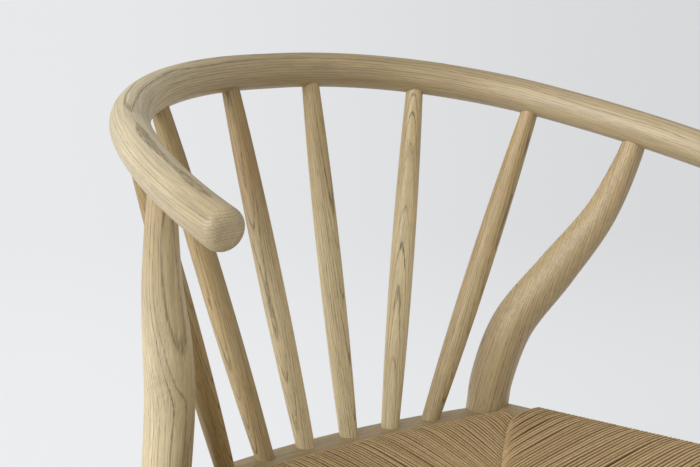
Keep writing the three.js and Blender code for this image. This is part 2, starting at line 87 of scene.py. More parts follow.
REAR_LEG_PATH = [
    (184, 214, 0), (181.4, 165.4, 300), (180.3, 144.4, 430), (180.8, 139.6, 456),
    (188.8, 122, 509), (210.9, 89.8, 562), (233.8, 59.1, 615), (246.4, 38.2, 668),
    (249.8, 30.4, 694),
]
REAR_LEG_TURNING = [
    (0, 13.5), (250, 17.6), (435, 19.6), (504, 19.8), (584, 18.3), (665, 13.7), (736, 9.5),
]
# Each leg's own tone, made darker towards the top as painted shade under the bow
REAR_LEG_TONES_AND_SHADE = {
    "right": [(0, 0.3), (0.6, 0.5), (0.8, 0.6), (0.95, -0.2)],
    "left": [(0, 0.2), (0.63, -0.1), (0.72, -0.1), (0.85, -0.3), (0.95, -0.4)],
}
# The right leg is flat sawn and its grain follows most of the bend, the left one is quarter sawn
REAR_LEG_BARK = {"right": (-0.05, -1, 0), "left": (0.767, -0.642, 0)}
REAR_LEG_FOLLOW = {"right": 0.75, "left": 0.12}
REAR_LEG_SEED = {"right": 41, "left": 44}
FRONT_LEG_FOOT = (247, -246, 0)
FRONT_LEG_SEAT = (243, -241, 415)
# Above the last row comes a dome, which starts lower and is rounder than the CAD model's
FRONT_LEG_TURNING = [(0, 13.5), (200, 17.4), (330, 19), (428, 19)]
FRONT_LEG_TOP = 444
GLIDE_HEIGHT = 3.3 * MM

SEAT_TOP = 431 * MM
CORE_TOP = SEAT_TOP - 4 * MM
CORE_HEIGHT = 22 * MM
CORE_BOTTOM = CORE_TOP - CORE_HEIGHT
CORE_ROUND = 6 * MM
SIDE_RAIL_LIFT = 2.3 * MM
SIDE_RAIL_WIDTH = 26 * MM
FRONT_RAIL_WIDTH = 23 * MM
SIDE_RAIL_REAR = np.array([186.0, 139.0]) * MM
SIDE_RAIL_FRONT = np.array([242.8, -240.9]) * MM
SPINDLE_FOOT_Z = 430 * MM
SPINDLE_RAIL = {"back": 177.6, "back_bow": 0.0007, "front": 141.6, "front_bow": 0.0003}
SPINDLE_RAIL_TOP = 425 * MM
SPINDLE_RAIL_BOTTOM = SPINDLE_RAIL_TOP - 24 * MM
SPINDLE_RAIL_ROUND = 2.5 * MM
REAR_CORD_RAIL = {"back": 136.6, "back_bow": 0.0005, "front": 112.6, "front_bow": 0.0005}
BOARD_HALF = 176 * MM  # the CAD model's spindle rail is 178 mm, which the legs hide

STRETCHER_SOCKET = 12 * MM
STRETCHER_END = 7.5 * MM
STRETCHER_BELLY = 3.5 * MM
STRETCHER_CHAMFER = 0.8 * MM
STRETCHER_GAP = 5 * MM  # from a leg's axis to the end of a side stretcher
SIDE_STRETCHER_REAR_Z = 205 * MM
SIDE_STRETCHER_FRONT_Z = 190 * MM

# ---- Mesh building ---------------------------------------------------------


def unit(v):
    """Vectors along the last axis, made one long."""
    return v / np.linalg.norm(v, axis=-1, keepdims=True)


def arc_lengths(points):
    """Length along a line of points, from its start."""
    steps = np.linalg.norm(np.diff(points, axis=0), axis=1)
    return np.concatenate([[0.0], np.cumsum(steps)])


def resampled(points, count):
    """A line of points, at equal steps along its length."""
    lengths = arc_lengths(points)
    want = np.linspace(0, lengths[-1], count)
    return np.stack([np.interp(want, lengths, points[:, k]) for k in range(3)], axis=1)


def smooth_line(points, count):
    """A Catmull-Rom curve through points, at equal steps along its length."""
    # Barry and Goldman's form, with knots spaced by the square root of each chord
    p = np.asarray(points, float)
    p = np.vstack([2 * p[0] - p[1], p, 2 * p[-1] - p[-2]])
    fine = []
    for i in range(1, len(p) - 2):
        a, b, c, d = p[i - 1:i + 3]
        ta, tb, tc = (np.linalg.norm(v) ** 0.5 for v in (b - a, c - b, d - c))
        for t in np.linspace(0, 1, 24, endpoint=i == len(p) - 3):
            u = ta + t * tb
            e = (ta - u) / ta * a + u / ta * b
            f = (ta + tb - u) / tb * b + (u - ta) / tb * c
            g = (ta + tb + tc - u) / tc * c + (u - ta - tb) / tc * d
            h = (ta + tb - u) / (ta + tb) * e + u / (ta + tb) * f
            k = (ta + tb + tc - u) / (tb + tc) * f + (u - ta) / (tb + tc) * g
            fine.append((ta + tb - u) / tb * h + (u - ta) / tb * k)
    return resampled(np.array(fine), count)


def smooth_values(table, at):
    """Values between the rows of a (length, value) table, without corners."""
    x, y = (np.array(c, float) for c in zip(*table))
    slope = np.gradient(y, x)
    i = np.clip(np.searchsorted(x, at) - 1, 0, len(x) - 2)
    w = x[i + 1] - x[i]
    t = np.clip((at - x[i]) / w, 0, 1)
    return ((2 * t**3 - 3 * t**2 + 1) * y[i] + (t**3 - 2 * t**2 + t) * w * slope[i]
            + (3 * t**2 - 2 * t**3) * y[i + 1] + (t**3 - t**2) * w * slope[i + 1])


def new_object(name, vertices, faces, material):
    """A smooth-shaded mesh object with its faces pointing out."""
    mesh = bpy.data.meshes.new(name)
    mesh.from_pydata([tuple(v) for v in vertices], [], [tuple(f) for f in faces])
    work = bmesh.new()
    work.from_mesh(mesh)
    bmesh.ops.recalc_face_normals(work, faces=work.faces)
    work.to_mesh(mesh)
    work.free()
    mesh.shade_smooth()
    mesh.materials.append(material)
    piece = bpy.data.objects.new(name, mesh)
    bpy.context.scene.collection.objects.link(piece)
    return piece


def add_vectors(piece, name, values):
    """Stores one vector per vertex."""
    layer = piece.data.attributes.new(name, "FLOAT_VECTOR", "POINT")
    layer.data.foreach_set("vector", np.asarray(values, np.float32).ravel())


def add_numbers(piece, name, values):
    """Stores one number per vertex."""
    layer = piece.data.attributes.new(name, "FLOAT", "POINT")
    layer.data.foreach_set("value", np.asarray(values, np.float32).ravel())


def ring_faces(rings, sides):
    """Faces of a tube whose vertices come ring by ring, then one for each end."""
    faces = []
    for i in range(rings - 1):
        for j in range(sides):
            k = (j + 1) % sides
            faces.append((i * sides + j, i * sides + k, (i + 1) * sides + k, (i + 1) * sides + j))
    first, last = rings * sides, rings * sides + 1
    top = (rings - 1) * sides
    for j in range(sides):
        k = (j + 1) % sides
        faces.append((first, k, j))
        faces.append((last, top + j, top + k))
    return faces


def frames_along(points, across):
    """Two directions square to a line at each of its points, the first nearest to across."""
    along = unit(np.gradient(points, axis=0))
    across = np.broadcast_to(np.asarray(across, float), along.shape)
    side = unit(across - (across * along).sum(1, keepdims=True) * along)
    return side, np.cross(side, along)


# ---- Grain -----------------------------------------------------------------


class Grain:
    """How a piece was cut from the board: where the pith is, how it is turned and tilted."""

    def __init__(self, seed, pith=0.07, turn=None, tilt=0.02):
        draw = random.Random(seed)
        self.turn = draw.uniform(0, 2 * math.pi) if turn is None else turn
        self.pith = pith * draw.uniform(0.85, 1.15)
        self.tilt = tilt * draw.choice([-1, 1])
        self.start = draw.uniform(0, 20)

    def place(self, across):
        """Vertices as (a, b, length) become (towards the bark, round the ring, along)."""
        a, b, s = across[:, 0], across[:, 1], across[:, 2]
        out = a * math.cos(self.turn) + b * math.sin(self.turn)
        around = b * math.cos(self.turn) - a * math.sin(self.turn)
        out = out + self.pith + self.tilt * (s - s.mean())
        return np.stack([out, around, s + self.start], axis=1)


def swept_round(name, points, radii, across, sides, grain, material, board=None, tones=((0, 0),)):
    """A round piece along a line, with grain coordinates and tones.

    The grain follows the line. With board = (direction, follow), the wood was sawn from a
    straight board and only that share of each bend is followed by the grain.
    """
    side, third = frames_along(points, across)
    lengths = arc_lengths(points)
    angles = np.arange(sides) * 2 * math.pi / sides
    ring_a = np.outer(radii, np.cos(angles))
    ring_b = np.outer(radii, np.sin(angles))
    body = (points[:, None] + ring_a[..., None] * side[:, None]
            + ring_b[..., None] * third[:, None]).reshape(-1, 3)
    vertices = np.vstack([body, points[:1], points[-1:]])
    ring_s = np.repeat(lengths, sides)
    coordinates = np.stack([ring_a.ravel(), ring_b.ravel(), ring_s], axis=1)
    ends = np.array([[0, 0, lengths[0]], [0, 0, lengths[-1]]])
    coordinates = np.vstack([coordinates, ends])
    if board is not None:
        along, follow = board
        along = unit(np.asarray(along, float))
        flat = np.asarray(across, float)
        flat = unit(flat - flat.dot(along) * along)
        edge = np.cross(flat, along)
        sawn = np.stack([vertices @ flat, vertices @ edge], axis=1)
        middle = np.array([points.mean(0) @ flat, points.mean(0) @ edge])
        coordinates[:, :2] = follow * coordinates[:, :2] + (1 - follow) * (sawn - middle)
    piece = new_object(name, vertices, ring_faces(len(points), sides), material)
    add_vectors(piece, "grain", grain.place(coordinates))
    share, tone = np.array(tones, float).T
    add_numbers(piece, "tone", np.interp(coordinates[:, 2] / lengths[-1], share, tone))
    return piece


def turned_piece(name, foot, head, table, sides, grain, material, rings=48, tones=((0, 0),)):
    """A straight turned piece between two points, from a (length, radius) table."""
    foot, head = np.asarray(foot, float), np.asarray(head, float)
    total = np.linalg.norm(head - foot)
    knots = np.array([row[0] for row in table])
    lengths = np.unique(np.concatenate([knots, np.linspace(0, total, rings)]))
    radii = np.interp(lengths, knots, [row[1] for row in table])
    points = foot + np.outer(lengths / total, head - foot)
    along = (head - foot) / total
    across = np.cross(along, [0, 0, 1]) if abs(along[2]) < 0.9 else np.array([1.0, 0, 0])
    return swept_round(name, points, radii, across, sides, grain, material, tones=tones)


def finished(piece, node):
    """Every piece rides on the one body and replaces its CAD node."""
    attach(piece, BODY)
    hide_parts(node)


# ---- Shader helpers --------------------------------------------------------


class Nodes:
    """A short way to write a node tree."""

    def __init__(self, name):
        self.material = bpy.data.materials.new(name)
        self.material.use_nodes = True
        self.tree = self.material.node_tree
        self.tree.nodes.clear()
        self.shader = self.tree.nodes.new("ShaderNodeBsdfPrincipled")
        output = self.tree.nodes.new("ShaderNodeOutputMaterial")
        self.link(self.shader.outputs[0], output.inputs["Surface"])

    def link(self, source, socket):
        self.tree.links.new(source, socket)

    def put(self, socket, value):
        """Links a socket, or sets it to a plain value."""
        if isinstance(value, bpy.types.NodeSocket):
            self.link(value, socket)
        else:
            socket.default_value = value

    def attribute(self, name, output="Vector"):
        node = self.tree.nodes.new("ShaderNodeAttribute")
        node.attribute_name = name
        return node.outputs[output]

    def math(self, operation, *values):
        node = self.tree.nodes.new("ShaderNodeMath")
        node.operation = operation
        for socket, value in zip(node.inputs, values):
            self.put(socket, value)
        return node.outputs[0]

    def vector(self, operation, *values):
        node = self.tree.nodes.new("ShaderNodeVectorMath")
        node.operation = operation
        for socket, value in zip(node.inputs, values):
            self.put(socket, value)
        output = "Value" if operation == "LENGTH" else "Vector"
        return node.outputs[output]

    def split(self, vector):
        node = self.tree.nodes.new("ShaderNodeSeparateXYZ")
        self.put(node.inputs[0], vector)
        return node.outputs[0], node.outputs[1], node.outputs[2]

    def join(self, x, y, z):
        node = self.tree.nodes.new("ShaderNodeCombineXYZ")
        for socket, value in zip(node.inputs, (x, y, z)):
            self.put(socket, value)
        return node.outputs[0]

    def noise(self, vector, detail=2.0, roughness=0.5, output=0):
        node = self.tree.nodes.new("ShaderNodeTexNoise")
        node.inputs["Scale"].default_value = 1.0
        node.inputs["Detail"].default_value = detail
        node.inputs["Roughness"].default_value = roughness
        self.put(node.inputs["Vector"], vector)
        return node.outputs[output]

    def steps(self, value, low, high, to_low=0.0, to_high=1.0):
        """A smooth step from low to high."""
        node = self.tree.nodes.new("ShaderNodeMapRange")
        node.interpolation_type = "SMOOTHSTEP"
        for key, number in (("From Min", low), ("From Max", high),
                            ("To Min", to_low), ("To Max", to_high)):
            node.inputs[key].default_value = number
        self.put(node.inputs["Value"], value)
        return node.outputs[0]

    def mix(self, amount, first, second, blend="MIX"):
        node = self.tree.nodes.new("ShaderNodeMix")
        node.data_type = "RGBA"
        node.blend_type = blend
        self.put(node.inputs[0], amount)
        self.put(node.inputs[6], first)
        self.put(node.inputs[7], second)
        return node.outputs[2]

    def bump(self, height, distance, strength):
        node = self.tree.nodes.new("ShaderNodeBump")
        node.inputs["Strength"].default_value = strength
        node.inputs["Distance"].default_value = distance
        self.put(node.inputs["Height"], height)
        return node.outputs[0]


def linear(red, green, blue):
    """A colour given in 0 to 255 screen values, as the shader wants it."""
    def one(v):
        v /= 255
        return v / 12.92 if v <= 0.04045 else ((v + 0.055) / 1.055) ** 2.4
    return (one(red), one(green), one(blue), 1.0)


# ---- Materials -------------------------------------------------------------


GOLDEN_TINT = (0.68, 0.60, 0.46, 1)
PALE_TINT = (1.27, 1.34, 1.50, 1)
# How fine the wood's patterns are, per metre: twice across the grain, then along it
DRIFT_SCALE = (22, 22, 5)
RAGGED_SCALE = (1500, 1500, 60)
PORE_SCALE = (2100, 2100, 100)
FIBRE_SCALE = (1100, 1100, 22)
BROAD_SCALE = (45, 45, 3.0)
STREAK_SCALE = (330, 330, 5.0)
RING_DRIFT = (0.009, 0.009, 0.0)  # how far the rings wander, in metres
CORD_DARK = (0.41, 0.275, 0.125, 1)
CORD_PALE = (0.61, 0.43, 0.225, 1)
CORD_PLIES = 3.0
CORD_TWIST = 11 * MM  # along the cord, for one turn of its plies


def wood_material(name, pale, dark, ring, pore_depth=0.8):
    """Soaped ash: each growth ring starts with a narrow row of long dark pores."""
    n = Nodes(name)
    grain = n.attribute("grain")
    slow = n.noise(n.vector("MULTIPLY", grain, DRIFT_SCALE), detail=2.0, output=1)
    drift = n.vector("MULTIPLY", n.vector("SUBTRACT", slow, (0.5, 0.5, 0.5)), RING_DRIFT)
    x, y, z = n.split(n.vector("ADD", grain, drift))
    radius = n.vector("LENGTH", n.join(x, y, 0.0))
    count = n.math("DIVIDE", radius, ring)
    uneven = n.noise(n.join(n.math("MULTIPLY", count, 0.41), 0.0, 0.0), detail=1.0)
    count = n.math("ADD", count, n.math("MULTIPLY", uneven, 1.8))
    ragged = n.noise(n.vector("MULTIPLY", grain, RAGGED_SCALE), detail=1.0)
    count = n.math("ADD", count, n.math("MULTIPLY", ragged, 0.16))
    part = n.math("FRACT", count)
    year = n.math("FLOOR", count)
    # The row of pores starts at the ring's edge and ends within a fifth of the ring
    row = n.math("MAXIMUM", n.steps(part, 0.05, 0.2, 1.0, 0.0), n.steps(part, 0.95, 1.0))
    late = n.steps(part, 0.55, 0.92)
    weight = n.noise(n.join(n.math("MULTIPLY", year, 0.73), 3.1, 0.0), detail=0.0)
    row = n.math("MULTIPLY", row, n.steps(weight, 0.3, 0.65, 0.25, 1.0))
    pores = n.noise(n.vector("MULTIPLY", grain, PORE_SCALE), detail=1.5)
    open_row = n.math("MULTIPLY", n.steps(pores, 0.42, 0.58), row)
    stray = n.math("MULTIPLY", n.steps(pores, 0.6, 0.7), 0.4)
    pore = n.math("MAXIMUM", open_row, stray)
    fibre = n.noise(n.vector("MULTIPLY", grain, FIBRE_SCALE), detail=3.0, roughness=0.65)
    broad = n.noise(n.vector("MULTIPLY", grain, BROAD_SCALE), detail=2.0)
    streak = n.noise(n.vector("MULTIPLY", grain, STREAK_SCALE), detail=2.0)
    colour = n.mix(n.math("MULTIPLY", row, 0.56), pale, dark)
    colour = n.mix(n.math("MULTIPLY", late, 0.1), colour, dark)
    deep = (0.44 * dark[0], 0.42 * dark[1], 0.43 * dark[2], 1)
    colour = n.mix(n.math("MULTIPLY", pore, pore_depth), colour, deep)
    shade = n.math("ADD", n.steps(fibre, 0.25, 0.75, 0.79, 1.17),
                   n.steps(broad, 0.3, 0.7, -0.08, 0.06))
    shade = n.math("MULTIPLY", shade, n.steps(streak, 0.34, 0.52, 0.89, 1.0))
    colour = n.mix(1.0, colour, n.join(shade, shade, shade), "MULTIPLY")
    # The tone holds each piece's own paleness and, on the spindles and rear legs, also painted
    # shade below the bow.
    tone = n.attribute("tone", "Fac")
    tint = n.mix(n.steps(tone, -1.0, 1.0), GOLDEN_TINT, PALE_TINT)
    colour = n.mix(1.0, colour, tint, "MULTIPLY")
    n.put(n.shader.inputs["Base Color"], colour)
    rough = n.math("MULTIPLY_ADD", pore, 0.2, 0.46)
    n.put(n.shader.inputs["Roughness"], n.math("MULTIPLY_ADD", fibre, 0.08, rough))
    n.shader.inputs["Specular IOR Level"].default_value = 0.75
    height = n.math("MULTIPLY_ADD", fibre, 0.35, n.math("MULTIPLY", pore, -1.0))
    n.put(n.shader.inputs["Normal"], n.bump(height, 0.12 * MM, 0.6))
    return n.material


def cord_material():
    """Twisted paper cord: three plies, matt, each strand a little different, with painted shade in
    the grooves between the plies and on each strand's flanks.
    """
    n = Nodes("paper_cord")
    cosine, sine, along = n.split(n.attribute("lay"))
    strand = n.attribute("strand", "Fac")
    angle = n.math("ARCTAN2", sine, cosine)
    phase = n.math("ADD", n.math("MULTIPLY", angle, CORD_PLIES),
                   n.math("MULTIPLY", along, 2 * math.pi * CORD_PLIES / CORD_TWIST))
    ply = n.math("ABSOLUTE", n.math("SINE", n.math("MULTIPLY", phase, 0.5)))
    place = n.join(n.math("MULTIPLY", strand, 91.7), n.math("MULTIPLY", along, 160), angle)
    mottle = n.noise(place, detail=3.0)
    crumple = n.noise(n.join(n.math("MULTIPLY", strand, 37.0), n.math("MULTIPLY", along, 900),
                             n.math("MULTIPLY", angle, 2.5)), detail=3.0)
    tone = n.math("ADD", n.math("MULTIPLY", strand, 0.3), n.math("MULTIPLY", mottle, 0.8))
    colour = n.mix(n.steps(tone, 0.2, 0.95), CORD_DARK, CORD_PALE)
    # Painted shade: the grooves between the plies are darkened.
    groove_painted_shade = n.steps(ply, 0.0, 0.45, 0.86, 1.0)
    shade = n.math("MULTIPLY", groove_painted_shade, n.steps(crumple, 0.3, 0.7, 0.86, 1.08))
    # Painted shade: each strand's sides, where it meets its neighbours, are darkened.
    flank_painted_shade = n.steps(n.math("ABSOLUTE", cosine), 0.35, 0.95, 1.0, 0.3)
    shade = n.math("MULTIPLY", shade, flank_painted_shade)
    colour = n.mix(1.0, colour, n.join(shade, shade, shade), "MULTIPLY")
    n.put(n.shader.inputs["Base Color"], colour)
    n.shader.inputs["Roughness"].default_value = 0.72
    n.shader.inputs["Specular IOR Level"].default_value = 0.25
    height = n.math("MULTIPLY_ADD", crumple, 0.25, ply)
    n.put(n.shader.inputs["Normal"], n.bump(height, 0.3 * MM, 0.5))
    return n.material


def glide_material():
    """Natural nylon, slightly scuffed."""
    n = Nodes("glide_nylon")
    geometry = n.tree.nodes.new("ShaderNodeNewGeometry")
    scuff = n.noise(n.vector("MULTIPLY", geometry.outputs["Position"], (900, 900, 900)), detail=3.0)
    colour = n.mix(n.steps(scuff, 0.35, 0.7), linear(214, 208, 194), linear(196, 188, 172))
    n.put(n.shader.inputs["Base Color"], colour)
    n.put(n.shader.inputs["Roughness"], n.steps(scuff, 0.3, 0.7, 0.4, 0.6))
    n.put(n.shader.inputs["Normal"], n.bump(scuff, 0.05 * MM, 0.4))
    return n.material


bow_wood = wood_material("bow_ash", pale=(0.49, 0.39, 0.226, 1), dark=(0.24, 0.175, 0.086, 1),
                         ring=1.9 * MM, pore_depth=0.6)
leg_wood = wood_material("leg_ash", pale=(0.51, 0.395, 0.212, 1), dark=(0.25, 0.17, 0.078, 1),
                         ring=2.4 * MM)
spindle_wood = wood_material("spindle_ash", pale=(0.55, 0.42, 0.21, 1),
                             dark=(0.21, 0.14, 0.062, 1), ring=1.6 * MM, pore_depth=0.9)
rail_wood = wood_material("rail_ash", pale=(0.43, 0.32, 0.165, 1), dark=(0.21, 0.14, 0.066, 1),
                          ring=2.2 * MM)
paper_cord = cord_material()
glide_nylon = glide_material()

# ---- Bow -------------------------------------------------------------------

BOW_APEX_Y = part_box("arm_bow")[1].y - BOW_RADIUS
BOW_BACK_END = BOW_STRAIGHT + BOW_BACK_RADIUS * BOW_BACK_ANGLE
BOW_HALF = BOW_BACK_END + BOW_ARM_RADIUS * BOW_ARM_ANGLE


def bow_point(length):
    """A point on the bow's centre line, by length from its middle to the sitter's left."""
    s = abs(length)
    tight = max(0.0, min(s, BOW_BACK_END) - BOW_STRAIGHT) / BOW_BACK_RADIUS
    turned_to = tight + max(0.0, s - BOW_BACK_END) / BOW_ARM_RADIUS
    x = (min(s, BOW_STRAIGHT) + BOW_BACK_RADIUS * math.sin(tight)
         + BOW_ARM_RADIUS * (math.sin(turned_to) - math.sin(tight)))
    forward = (BOW_BACK_RADIUS * (1 - math.cos(tight))
               + BOW_ARM_RADIUS * (math.cos(tight) - math.cos(turned_to)))
    return np.array([
        math.copysign(x, length),
        BOW_APEX_Y - forward * math.cos(BOW_FALL),
        BOW_APEX_Z - forward * math.sin(BOW_FALL),
    ])


def make_bow():
    """The bent bow. The arm ends are cut square, with a soft quarter-round edge."""
    ends = [ARM_END_ROUNDING * (1 - math.cos(math.radians(a))) for a in range(0, 91, 9)]
    flat = BOW_RADIUS - ARM_END_ROUNDING
    end_radii = [flat + ARM_END_ROUNDING * math.sin(math.radians(a)) for a in range(0, 91, 9)]
    middle = np.linspace(ARM_END_ROUNDING, 2 * BOW_HALF - ARM_END_ROUNDING, 220)[1:-1]
    lengths = np.concatenate([ends, middle, 2 * BOW_HALF - np.array(ends[::-1])])
    radii = np.concatenate([end_radii, np.full(len(middle), BOW_RADIUS), end_radii[::-1]])
    points = np.array([bow_point(s - BOW_HALF) for s in lengths])
    normal = (0, -math.sin(BOW_FALL), math.cos(BOW_FALL))
    grain = Grain(5, pith=0.05, turn=0.1, tilt=0.01)
    bow = swept_round("bent_bow", points, radii, normal, sides=56, grain=grain,
                      material=bow_wood, tones=BOW_TONES)
    finished(bow, "arm_bow")


make_bow()

# ---- Spindles --------------------------------------------------------------


def make_spindle(side, i):
    """One turned spindle, from its socket in the rail to its socket in the bow."""
    foot_x = SPINDLE_FOOT_X[i]
    foot_y = SPINDLE_ROW_Y - SPINDLE_ROW_CURVE * foot_x**2
    foot = np.array([side * foot_x, foot_y, SPINDLE_FOOT_Z])
    crown = bow_point(side * SPINDLE_CROWN[i])
    axis = unit(crown - foot)
    start = foot - axis * ((SPINDLE_FOOT_Z - SPINDLE_RAIL_TOP) / axis[2] + SPINDLE_SOCKET)
    end = crown + axis * (SPINDLE_SOCKET - BOW_RADIUS)
    total = np.linalg.norm(end - start)
    table = [(0, SPINDLE_BASE - 0.5 * MM), (1 * MM, SPINDLE_BASE)]
    for t in np.linspace(0, 1, 33):
        plain = SPINDLE_BASE + (SPINDLE_TOP - SPINDLE_BASE) * t
        radius = plain + SPINDLE_BELLY * 4 * t * (1 - t)
        table.append((SPINDLE_SOCKET + (total - 2 * SPINDLE_SOCKET) * t, radius))
    table += [(total - 1 * MM, SPINDLE_TOP), (total, SPINDLE_TOP - 0.5 * MM)]
    order = 3 - i if side == RIGHT else 4 + i
    grain = Grain(20 + order, pith=0.06, tilt=0.03)
    # Between a third and four fifths of the length the tone falls to the crown's: the darker crowns
    # are painted shade under the bow.
    foot_tone, crown_tone_and_shade = SPINDLE_TONES_AND_SHADE[order]
    spindle = turned_piece(f"turned_spindle_{order}", start, end, table, sides=32, grain=grain,
                           material=spindle_wood,
                           tones=[(0, foot_tone), (0.35, foot_tone), (0.8, crown_tone_and_shade)])
    finished(spindle, f"spindle_{order}")


for side in (RIGHT, LEFT):
    for i in range(3):
        make_spindle(side, i)

# ---- Legs ------------------------------------------------------------------


def mirrored(point, side):
    """A point given in millimetres for the sitter's left, on either side, in metres."""
    return np.array([side * point[0], point[1], point[2]], float) * MM


def rear_leg_line(side):
    """The centre line of a rear leg, from the floor to the bow."""
    return smooth_line([mirrored(p, side) for p in REAR_LEG_PATH], 170)


def cut_level(piece, height):
    """Cuts a piece off level at its foot and closes the cut."""
    work = bmesh.new()
    work.from_mesh(piece.data)
    everything = work.verts[:] + work.edges[:] + work.faces[:]
    cut = bmesh.ops.bisect_plane(work, geom=everything, plane_co=(0, 0, height),
                                 plane_no=(0, 0, 1), clear_inner=True)
    rim = [e for e in cut["geom_cut"] if isinstance(e, bmesh.types.BMEdge)]
    bmesh.ops.contextual_create(work, geom=rim)
    work.to_mesh(piece.data)
    work.free()
    piece.data.update()


def make_rear_leg(side, word):
    """Sawn in an S from a straight-grained board, then rounded."""
    points = rear_leg_line(side)
    lengths = arc_lengths(points)
    full = REAR_LEG_TURNING[-1][0] * MM
    table = [(s * MM * lengths[-1] / full, r * MM) for s, r in REAR_LEG_TURNING]
    radii = smooth_values(table, lengths)
    board = (points[-1] - points[0], REAR_LEG_FOLLOW[word])
    grain = Grain(REAR_LEG_SEED[word], pith=0.045, turn=0.0, tilt=0.0)
    leg = swept_round(f"s_leg_{word}", points, radii, REAR_LEG_BARK[word], sides=56,
                      grain=grain, material=leg_wood, board=board, tones=REAR_LEG_TONES_AND_SHADE[word])
    cut_level(leg, GLIDE_HEIGHT)
    finished(leg, f"rear_leg_{word}")


def front_leg_ends(side):
    """Two points on the axis of a front leg, at the floor and near the seat."""
    return mirrored(FRONT_LEG_FOOT, side), mirrored(FRONT_LEG_SEAT, side)


def make_front_leg(side, word):
    """Turned, with a long taper and a low dome above the seat."""
    foot, seat = front_leg_ends(side)
    top_length = FRONT_LEG_TOP * MM
    head = foot + unit(seat - foot) * top_length
    knots = [(s * MM, r * MM) for s, r in FRONT_LEG_TURNING]
    table = [(s, float(smooth_values(knots, np.array([s]))[0]))
             for s in np.linspace(0, knots[-1][0], 50)]
    dome = top_length - knots[-1][0]
    for a in range(6, 91, 6):
        angle = math.radians(a)
        table.append((knots[-1][0] + dome * math.sin(angle),
                      max(knots[-1][1] * math.cos(angle) ** 0.6, 0.2 * MM)))
    grain = Grain(50 + side, pith=0.05, tilt=0.012)
    leg = turned_piece(f"turned_leg_{word}", foot, head, table, sides=48, grain=grain,
                       material=leg_wood, rings=60)
    cut_level(leg, GLIDE_HEIGHT)
    finished(leg, f"front_leg_{word}")


for word, side in (("left", LEFT), ("right", RIGHT)):
    make_rear_leg(side, word)
    make_front_leg(side, word)

# ---- Rails and stretchers --------------------------------------------------


def rounded_section(width, height, radius):
    """The corners of a rounded rectangle about the origin, in order."""
    steps = 5
    corners = []
    for cx, cy, start in ((1, -1, -90), (1, 1, 0), (-1, 1, 90), (-1, -1, 180)):
        for k in range(steps + 1):
            a = math.radians(start + 90 * k / steps)
            corners.append((cx * (width / 2 - radius) + radius * math.cos(a),
                            cy * (height / 2 - radius) + radius * math.sin(a)))
    return np.array(corners)


def swept_rail(name, sections, grain):
    """A rail from a list of (corner points, grain coordinates) rings."""
    sides = len(sections[0][0])
    body = np.vstack([ring for ring, _ in sections])
    across = np.vstack([coords for _, coords in sections])
    ends = [sections[0][0].mean(0), sections[-1][0].mean(0)]
    end_across = [sections[0][1].mean(0), sections[-1][1].mean(0)]
    vertices = np.vstack([body, ends])
    piece = new_object(name, vertices, ring_faces(len(sections), sides), rail_wood)
    add_vectors(piece, "grain", grain.place(np.vstack([across, end_across])))
    return piece


def edge(middle, bow, x):
    """A parabolic edge in plan. bow is as in the CAD model, per millimetre."""
    return middle * MM - bow / MM * x * x


def make_board(name, plan, bottom, top, radius, grain):
    """A level board with parabolic edges and softened corners."""
    sections = []
    for x in np.linspace(-BOARD_HALF, BOARD_HALF, 90):
        back = edge(plan["back"], plan["back_bow"], x)
        front = edge(plan["front"], plan["front_bow"], x)
        section = rounded_section(back - front, top - bottom, radius)
        ring = np.stack([np.full(len(section), x), section[:, 0] + (back + front) / 2,
                         section[:, 1] + (top + bottom) / 2], axis=1)
        straight = np.stack([ring[:, 1] - plan["front"] * MM, section[:, 1], ring[:, 0]], axis=1)
        sections.append((ring, straight))
    return swept_rail(name, sections, grain)


def make_bar(name, start, end, width, grain):
    """A straight rail for the cord, with rounded corners."""
    start, end = np.asarray(start, float), np.asarray(end, float)
    along = unit(end - start)
    across = np.cross((0, 0, 1), along)
    section = rounded_section(width, CORE_HEIGHT, CORE_ROUND)
    sections = []
    for s in np.linspace(0, np.linalg.norm(end - start), 40):
        centre = start + along * s
        ring = centre + np.outer(section[:, 0], across) + np.outer(section[:, 1], (0, 0, 1))
        sections.append((ring, np.column_stack([section, np.full(len(section), s)])))
    return swept_rail(name, sections, grain)


def make_rails():
    """The four rails that the cord is wound on, and the board that holds the spindles."""
    grain = Grain(61, pith=0.05, turn=0.3, tilt=0.01)
    board = make_board("spindle_board", SPINDLE_RAIL, SPINDLE_RAIL_BOTTOM, SPINDLE_RAIL_TOP,
                       SPINDLE_RAIL_ROUND, grain)
    finished(board, "spindle_rail")
    core = make_board("rear_cord_core", REAR_CORD_RAIL, CORE_BOTTOM, CORE_TOP, CORE_ROUND,
                      Grain(62))
    finished(core, "rear_cord_rail")
    middle = CORE_TOP - CORE_HEIGHT / 2
    for word, side in (("left", LEFT), ("right", RIGHT)):
        start = (side * SIDE_RAIL_REAR[0], SIDE_RAIL_REAR[1], middle + SIDE_RAIL_LIFT)
        end = (side * SIDE_RAIL_FRONT[0], SIDE_RAIL_FRONT[1], middle + SIDE_RAIL_LIFT)
        bar = make_bar(f"side_core_{word}", start, end, SIDE_RAIL_WIDTH, Grain(63 + side))
        finished(bar, f"side_rail_{word}")
    ends = [(side * SIDE_RAIL_FRONT[0], SIDE_RAIL_FRONT[1], middle) for side in (RIGHT, LEFT)]
    bar = make_bar("front_core", *ends, FRONT_RAIL_WIDTH, Grain(66))
    finished(bar, "front_rail")


